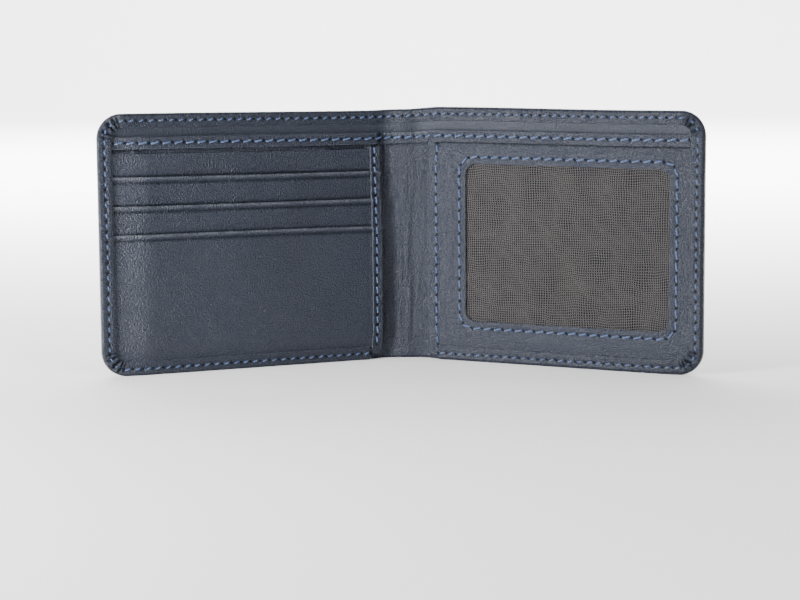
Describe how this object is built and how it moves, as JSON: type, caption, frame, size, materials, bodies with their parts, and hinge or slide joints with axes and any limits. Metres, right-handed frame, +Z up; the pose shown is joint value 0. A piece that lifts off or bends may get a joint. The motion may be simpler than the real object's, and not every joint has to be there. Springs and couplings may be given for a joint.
{
  "type": "bifold wallet",
  "caption": "Folding leather billfold with stepped card pockets on one panel, a net identity-card window on the other and a note compartment open along the top.",
  "frame": {"origin": "middle of the bounding box's floor, midway between the two fold lines in X", "axes": "+Z up along the fold lines, +X from the card-pocket panel to the window panel, pockets face -Y; the wallet stands on its bottom edges, each panel leaning 25 degrees forward from the spine's plane"},
  "size_m": [0.211, 0.0518, 0.092],
  "materials": {
    "outer_leather": "satin, fine natural grain",
    "inner_leather": "satin, fine natural grain",
    "lining_fabric": "smooth woven lining",
    "net_fabric": "open plain weave",
    "thread": "twisted polyester thread"
  },
  "bodies": {
    "spine": {"bottom_turning_spine": "outer_leather", "cover_spine": "outer_leather", "lining_spine": "lining_fabric", "note_wall_hem_spine": "inner_leather", "note_wall_spine": "inner_leather", "note_wall_stitching_spine": "thread", "perimeter_stitching_spine": "thread", "top_turning_spine": "outer_leather"},
    "card_side": {"bottom_turning_card_side": "outer_leather", "card_pocket_1": "inner_leather", "card_pocket_2": "inner_leather", "card_pocket_3": "inner_leather", "card_pocket_backing": "inner_leather", "card_stack_stitching": "thread", "card_stack_turning": "inner_leather", "cover_card_side": "outer_leather", "lining_card_side": "lining_fabric", "note_wall_card_side": "inner_leather", "note_wall_hem_card_side": "inner_leather", "note_wall_stitching_card_side": "thread", "perimeter_stitching_card_side": "thread", "side_turning_card_side": "outer_leather", "top_turning_card_side": "outer_leather"},
    "window_side": {"bottom_turning_window_side": "outer_leather", "cover_window_side": "outer_leather", "lining_window_side": "lining_fabric", "note_wall_hem_window_side": "inner_leather", "note_wall_stitching_window_side": "thread", "note_wall_window_side": "inner_leather", "perimeter_stitching_window_side": "thread", "side_turning_window_side": "outer_leather", "top_turning_window_side": "outer_leather", "window_frame": "inner_leather", "window_mouth_stitching": "thread", "window_mouth_turning": "inner_leather", "window_net": "net_fabric", "window_stitching": "thread"}
  },
  "joints": [
    {"name": "card_fold", "type": "hinge", "parent": "spine", "child": "card_side", "pos_m": [-0.0065, 0.02489, 0], "axis": [0, 0, 1], "range_deg": [-25, 65]},
    {"name": "window_fold", "type": "hinge", "parent": "spine", "child": "window_side", "pos_m": [0.0065, 0.02489, 0], "axis": [0, 0, -1], "range_deg": [-25, 65]}
  ],
  "couplings": [
    {"joint": "window_fold", "follows": "card_fold", "ratio": 1}
  ]
}
